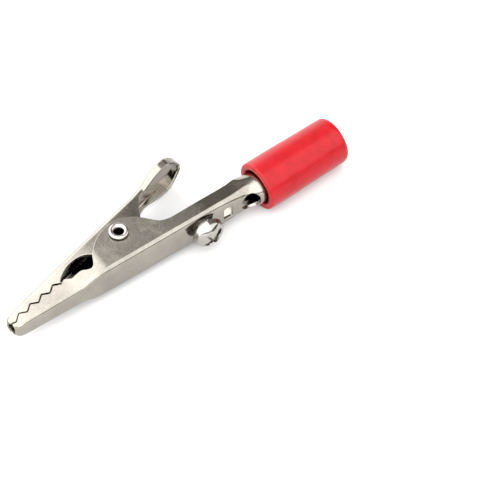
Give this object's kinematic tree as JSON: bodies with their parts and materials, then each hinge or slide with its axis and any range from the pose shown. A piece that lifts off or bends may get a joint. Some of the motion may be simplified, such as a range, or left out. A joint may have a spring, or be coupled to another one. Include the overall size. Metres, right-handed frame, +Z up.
{
  "type": "alligator test clip",
  "caption": "Nickel-plated alligator clip with serrated jaws, a thumb pad, a terminal screw and a red insulating sleeve over its barrel.",
  "frame": {"origin": "middle of the clip's box in plan, on the surface it lies on, with the clip on its side", "axes": "+X from the nose to the sleeve's tail, +Y the way the upper jaw and thumb pad lie, +Z up, along the jaws' pivot"},
  "size_m": [0.059, 0.0152, 0.0077],
  "materials": {
    "nickel_plate": "satin",
    "bright_nickel": "polished",
    "spring_steel": "satin",
    "red_vinyl": "gloss"
  },
  "bodies": {
    "clip": {"lower_jaw": "nickel_plate", "pivot_rivet": "bright_nickel", "torsion_spring": "spring_steel"},
    "lever": {"upper_jaw": "nickel_plate"},
    "screw": {"terminal_screw": "bright_nickel"},
    "sleeve": {"insulating_sleeve": "red_vinyl"}
  },
  "joints": [
    {"name": "jaw_pivot", "type": "hinge", "parent": "clip", "child": "lever", "pos_m": [-0.00804, -0.00034, 0.00387], "axis": [0, 0, -1], "range_deg": [0, 22], "stiffness_Nm_per_rad": 0.156, "springref_deg": -36.67, "deforming": ["torsion_spring"]},
    {"name": "terminal_screw_turn", "type": "hinge", "parent": "clip", "child": "screw", "pos_m": [0.00391, -0.00455, 0.00387], "axis": [0, -1, 0], "range_deg": [0, 720]},
    {"name": "sleeve_slide", "type": "slide", "parent": "clip", "child": "sleeve", "axis": [0.9981, 0.061, 0], "range_m": [0, 0.0066]}
  ]
}
